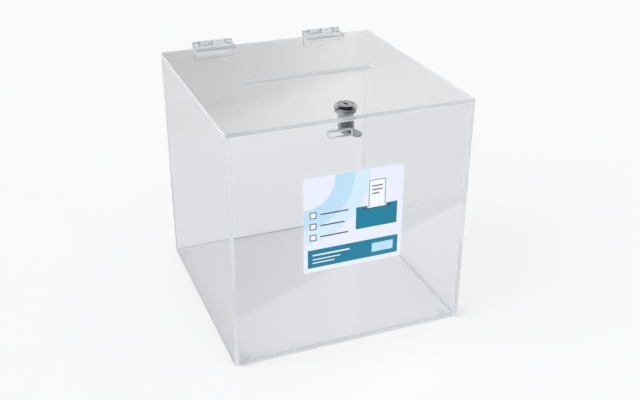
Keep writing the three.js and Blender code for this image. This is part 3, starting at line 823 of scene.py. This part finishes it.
split_washer = turn("lock_split_washer", [
    (split_inner, split_bottom), (split_outer, split_bottom), (split_outer, split_top),
    (split_inner, split_top), (split_inner, split_bottom)], origin, washer_sides)
split = stock(
    "split", (-split_half_width, split_inner - overshoot, split_bottom - overshoot),
    (split_half_width, split_outer + overshoot, split_top + overshoot))
combine(split_washer, split, "DIFFERENCE")
break_edges(split_washer, metal_edge_break)
set_down(split_washer, core_turn)

screw = turn("lock_cam_screw_cross", [
    *screw_head_curve, (screw_head_radius, screw_head_seat), (screw_radius, screw_head_seat),
    (screw_radius, screw_end - screw_chamfer), (screw_radius - screw_chamfer, screw_end),
    (0, screw_end)], origin, washer_sides)
for width, depth in (
    (recess_half_length, recess_half_width), (recess_half_width, recess_half_length),
):
    recess = stock(
        "recess", (-width, -depth, screw_head_bottom - overshoot), (width, depth, recess_floor))
    combine(screw, recess, "DIFFERENCE")
break_edges(screw, screw_edge_break)
set_down(screw, core_turn)

# Zinc plate: a soft blue-grey shine that clouds from crystal to crystal
zinc_crystal = 1.5 * mm
zinc, tree = start_finish("zinc_plated_steel")
place = add_node(tree, "ShaderNodeTexCoord", {})
zinc_cloud = add_node(tree, "ShaderNodeTexNoise", {
    "Vector": place.outputs["Object"], "Scale": 1 / zinc_crystal, "Detail": 4.0})
zinc_gloss = add_node(tree, "ShaderNodeMapRange", {
    "Value": zinc_cloud.outputs["Fac"], "To Min": 0.22, "To Max": 0.42})
zinc_tone = add_node(tree, "ShaderNodeMix", {
    0: zinc_cloud.outputs["Fac"], 6: linear("#9EA5AC"), 7: linear("#BCC2C8")},
    data_type="RGBA")
zinc_plate = add_node(tree, "ShaderNodeBsdfPrincipled", {
    "Base Color": zinc_tone.outputs[2], "Roughness": zinc_gloss.outputs["Result"],
    "Metallic": 1.0})
add_node(tree, "ShaderNodeOutputMaterial", {"Surface": zinc_plate.outputs[0]})
hand_over(stop, "lock_core", "lock_stop_washer", "zinc_steel", zinc)
hand_over(split_washer, "lock_core", "lock_spring_washer", "zinc_steel", zinc)
hand_over(screw, "lock_core", "lock_cam_screw", "zinc_steel", zinc)

# Wafers and their springs: four stamped brass plates in the plug's slits, each pushed by a
# small coil of drawn spring wire. Only their ends show, in the keyway, so the solids stay.
# The brass is worn bright in patches of 1.2 mm, and the wire's die left specks of 0.4 mm on it.
for name, pieces, grain, detail, low_gloss, high_gloss, low_tone, high_tone in (
    ("stamped_brass", "wafer", 1.2 * mm, 4.0, 0.2, 0.42, "#A98A47", "#CDB06C"),
    ("drawn_spring_wire", "wafer_spring", 0.4 * mm, 2.0, 0.25, 0.4, "#82878D", "#A0A5AA"),
):
    finish, tree = start_finish(name)
    place = add_node(tree, "ShaderNodeTexCoord", {})
    wear = add_node(tree, "ShaderNodeTexNoise", {
        "Vector": place.outputs["Object"], "Scale": 1 / grain, "Detail": detail})
    wear_gloss = add_node(tree, "ShaderNodeMapRange", {
        "Value": wear.outputs["Fac"], "To Min": low_gloss, "To Max": high_gloss})
    wear_tone = add_node(tree, "ShaderNodeMix", {
        0: wear.outputs["Fac"], 6: linear(low_tone), 7: linear(high_tone)}, data_type="RGBA")
    metal = add_node(tree, "ShaderNodeBsdfPrincipled", {
        "Base Color": wear_tone.outputs[2], "Roughness": wear_gloss.outputs["Result"],
        "Metallic": 1.0})
    add_node(tree, "ShaderNodeOutputMaterial", {"Surface": metal.outputs[0]})
    for number in wafer_numbers:
        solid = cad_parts[f"{pieces}_{number}"]
        solid.data.materials.clear()
        solid.data.materials.append(finish)

# Table: a wide sheet of pale matt paper under the box, which runs out of every view. Rays that
# were mirrored once see a painted reflection on it: painted shade darker at the left, and
# painted dark in front beyond a slanting line.
table_width = 40
table_drop = 0.2 * mm
table_mottle = 250 * mm
painted_dark_slant = (0.427, 1.0, 0.0)
mirrored_once, ray_margin = 1.0, 0.5
bpy.ops.object.select_all(action="DESELECT")
bpy.ops.mesh.primitive_plane_add(size=table_width, location=(0, 0, -table_drop))
table = bpy.context.object
table.name = "table"
table_paper, tree = start_finish("matt_table_paper")
place = add_node(tree, "ShaderNodeTexCoord", {})
table_grain = add_node(tree, "ShaderNodeTexNoise", {
    "Vector": place.outputs["Object"], "Scale": 1 / table_mottle, "Detail": 2.0})
table_tone = add_node(tree, "ShaderNodeMix", {
    0: table_grain.outputs["Fac"], 6: linear("#F5F5F5"), 7: linear("#F7F7F7")},
    data_type="RGBA")
# Painted reflection: rays mirrored once see painted shade, darker at the left and dark in front
table_path = add_node(tree, "ShaderNodeLightPath", {})
mirrored = add_node(tree, "ShaderNodeMath", {
    0: table_path.outputs["Glossy Depth"], 1: mirrored_once, 2: ray_margin},
    operation="COMPARE")
table_place = add_node(tree, "ShaderNodeSeparateXYZ", {"Vector": place.outputs["Object"]})
rightward = add_node(tree, "ShaderNodeMapRange", {
    "Value": table_place.outputs["X"], "From Min": -0.2, "From Max": 0.2,
    "To Min": 0.0, "To Max": 1.0})
painted_left_shade = add_node(tree, "ShaderNodeMix", {
    0: rightward.outputs["Result"], 6: linear("#D2D3D5"), 7: linear("#F6F6F6")},
    data_type="RGBA")
forward = add_node(tree, "ShaderNodeVectorMath", {
    0: place.outputs["Object"], 1: painted_dark_slant}, operation="DOT_PRODUCT")
painted_dark_mask = add_node(tree, "ShaderNodeMapRange", {
    "Value": forward.outputs["Value"], "From Min": -0.257, "From Max": -0.249,
    "To Min": 1.0, "To Max": 0.0})
beside = add_node(tree, "ShaderNodeMapRange", {
    "Value": table_place.outputs["X"], "From Min": -0.35, "From Max": -0.3,
    "To Min": 0.0, "To Max": 1.0})
painted_dark_front = add_node(tree, "ShaderNodeMath", {
    0: painted_dark_mask.outputs["Result"], 1: beside.outputs["Result"]}, operation="MULTIPLY")
painted_reflection_tone = add_node(tree, "ShaderNodeMix", {
    0: painted_dark_front.outputs[0], 6: painted_left_shade.outputs[2], 7: linear("#26272A")},
    data_type="RGBA")
table_and_painted_reflection = add_node(tree, "ShaderNodeMix", {
    0: mirrored.outputs[0], 6: table_tone.outputs[2], 7: painted_reflection_tone.outputs[2]},
    data_type="RGBA")
table_matt = add_node(tree, "ShaderNodeBsdfPrincipled", {
    "Base Color": table_and_painted_reflection.outputs[2], "Roughness": 0.9, "Specular IOR Level": 0.0})
add_node(tree, "ShaderNodeOutputMaterial", {"Surface": table_matt.outputs[0]})
table.data.materials.append(table_paper)

# Studio: a pale wall all round at eye level that darkens towards an unlit ceiling, with a
# broad soft lamp at the left and a wide dim one at the right. Light piped through the sheets
# by many reflections comes out as one even grey.
piped_from = 1.5
lamp_distance = 3
studio = bpy.data.worlds.new("studio")
bpy.context.scene.world = studio
studio.use_nodes = True
tree = studio.node_tree
tree.nodes.clear()
outlook = add_node(tree, "ShaderNodeTexCoord", {})
upward = add_node(tree, "ShaderNodeSeparateXYZ", {"Vector": outlook.outputs["Generated"]})
wall_tone = add_node(tree, "ShaderNodeValToRGB", {"Fac": upward.outputs["Z"]})
wall_low, wall_high = wall_tone.color_ramp.elements
wall_low.position, wall_low.color = 0.5, linear("#F6F6F7")
wall_high.position, wall_high.color = 0.82, linear("#303234")
studio_path = add_node(tree, "ShaderNodeLightPath", {})
piped = add_node(tree, "ShaderNodeMath", {
    0: studio_path.outputs["Glossy Depth"], 1: piped_from}, operation="GREATER_THAN")
seen_tone = add_node(tree, "ShaderNodeMix", {
    0: piped.outputs[0], 6: wall_tone.outputs["Color"], 7: linear("#9FA0A2")},
    data_type="RGBA")
wall_light = add_node(tree, "ShaderNodeBackground", {"Color": seen_tone.outputs[2]})
add_node(tree, "ShaderNodeOutputWorld", {"Surface": wall_light.outputs[0]})


def direction(azimuth, height):
    turned, raised = math.radians(azimuth), math.radians(height)
    return Vector((
        math.sin(turned) * math.cos(raised), -math.cos(turned) * math.cos(raised),
        math.sin(raised)))


for name, strength, softness, azimuth, height in (
    ("key", 2.0, 50, -78, 36), ("fill", 0.85, 90, 40, 62),
):
    toward = direction(azimuth, height)
    bpy.ops.object.light_add(type="SUN", location=toward * lamp_distance)
    lamp = bpy.context.object
    lamp.name = name
    lamp.rotation_euler = toward.to_track_quat("Z", "Y").to_euler()
    lamp.data.energy = strength
    lamp.data.angle = math.radians(softness)
    lamp.visible_glossy = name == "key"
    lamp.visible_transmission = False

# Painted reflection: a glowing card behind the box, dim at the left and brighter to the right,
# in two parts that meet along a slant. Only what the lid and the lock mirror once shows it.
card_left, card_right, card_bottom, card_top, card_behind = 0.1, 1.6, 0.7, 1.9, 2.0
glow_slant = 0.136
bpy.ops.object.select_all(action="DESELECT")
bpy.ops.mesh.primitive_plane_add(size=1)
glowing_reflection_card = bpy.context.object
glowing_reflection_card.name = "glowing_reflection_card"
for corner, (x, z) in zip(glowing_reflection_card.data.vertices, (
    (card_left, card_bottom), (card_right, card_bottom),
    (card_left, card_top), (card_right, card_top),
)):
    corner.co = (x, card_behind, z)
painted_reflection_glow, tree = start_finish("painted_reflection_glow")
place = add_node(tree, "ShaderNodeTexCoord", {})
along = add_node(tree, "ShaderNodeSeparateXYZ", {"Vector": place.outputs["Object"]})
low_fade = add_node(tree, "ShaderNodeMapRange", {
    "Value": along.outputs["X"], "From Min": 0.42, "From Max": 0.93,
    "To Min": 0.0, "To Max": 0.68})
low_haze = add_node(tree, "ShaderNodeMapRange", {
    "Value": along.outputs["Z"], "From Min": 0.85, "From Max": 1.0,
    "To Min": 0.09, "To Max": 0.0})
lower_glow = add_node(tree, "ShaderNodeMath", {
    0: low_fade.outputs["Result"], 1: low_haze.outputs["Result"]}, operation="ADD")
upper_glow = add_node(tree, "ShaderNodeMapRange", {
    "Value": along.outputs["X"], "From Min": 0.38, "From Max": 0.93,
    "To Min": 0.1, "To Max": 0.77})
slant = add_node(tree, "ShaderNodeMath", {
    0: along.outputs["X"], 1: glow_slant, 2: along.outputs["Z"]}, operation="MULTIPLY_ADD")
upper = add_node(tree, "ShaderNodeMapRange", {
    "Value": slant.outputs[0], "From Min": 1.13, "From Max": 1.134,
    "To Min": 0.0, "To Max": 1.0})
split_glow = add_node(tree, "ShaderNodeMix", {
    0: upper.outputs["Result"], 2: lower_glow.outputs[0], 3: upper_glow.outputs["Result"]})
right_edge = add_node(tree, "ShaderNodeMapRange", {
    "Value": along.outputs["X"], "From Min": 0.94, "From Max": 0.955,
    "To Min": 1.0, "To Max": 0.92})
glow_strength = add_node(tree, "ShaderNodeMath", {
    0: split_glow.outputs[0], 1: right_edge.outputs["Result"]}, operation="MULTIPLY")
# The card glows with the painted reflection's tone, though it is no lamp
painted_reflection_emission = add_node(tree, "ShaderNodeEmission", {"Strength": glow_strength.outputs[0]})
card_path = add_node(tree, "ShaderNodeLightPath", {})
once = add_node(tree, "ShaderNodeMath", {
    0: card_path.outputs["Glossy Depth"], 1: mirrored_once, 2: ray_margin},
    operation="COMPARE")
unseen = add_node(tree, "ShaderNodeBsdfTransparent", {})
card_mix = add_node(tree, "ShaderNodeMixShader", {
    0: once.outputs[0], 1: unseen.outputs[0], 2: painted_reflection_emission.outputs[0]})
add_node(tree, "ShaderNodeOutputMaterial", {"Surface": card_mix.outputs[0]})
glowing_reflection_card.data.materials.append(painted_reflection_glow)
glowing_reflection_card.visible_camera = False
glowing_reflection_card.visible_diffuse = False
glowing_reflection_card.visible_shadow = False

# Camera: a little left of the front and above the lid, as in the photograph. Clear sheet behind
# clear sheet needs many bounces.
camera_aim = Vector((14.39, -3.3, 104.89)) * mm
camera_distance = 995.39
camera_azimuth, camera_height = -21.73, 26.88
camera_roll = 0.27
camera_sensor, camera_lens = 36, 50.45
clear_bounces, all_bounces = 64, 80
backward = direction(camera_azimuth, camera_height)
bpy.ops.object.camera_add(location=camera_aim + backward * camera_distance * mm)
camera = bpy.context.object
level = (-backward).to_track_quat("-Z", "Y")
rolled = level @ Quaternion((0, 0, 1), math.radians(camera_roll))
camera.rotation_euler = rolled.to_euler()
camera.data.sensor_width = camera_sensor
camera.data.lens = camera_lens
bpy.context.scene.camera = camera
bpy.context.scene.view_settings.view_transform = "Standard"
bpy.context.scene.cycles.max_bounces = all_bounces
bpy.context.scene.cycles.glossy_bounces = clear_bounces
bpy.context.scene.cycles.transmission_bounces = clear_bounces
bpy.context.scene.cycles.transparent_max_bounces = clear_bounces
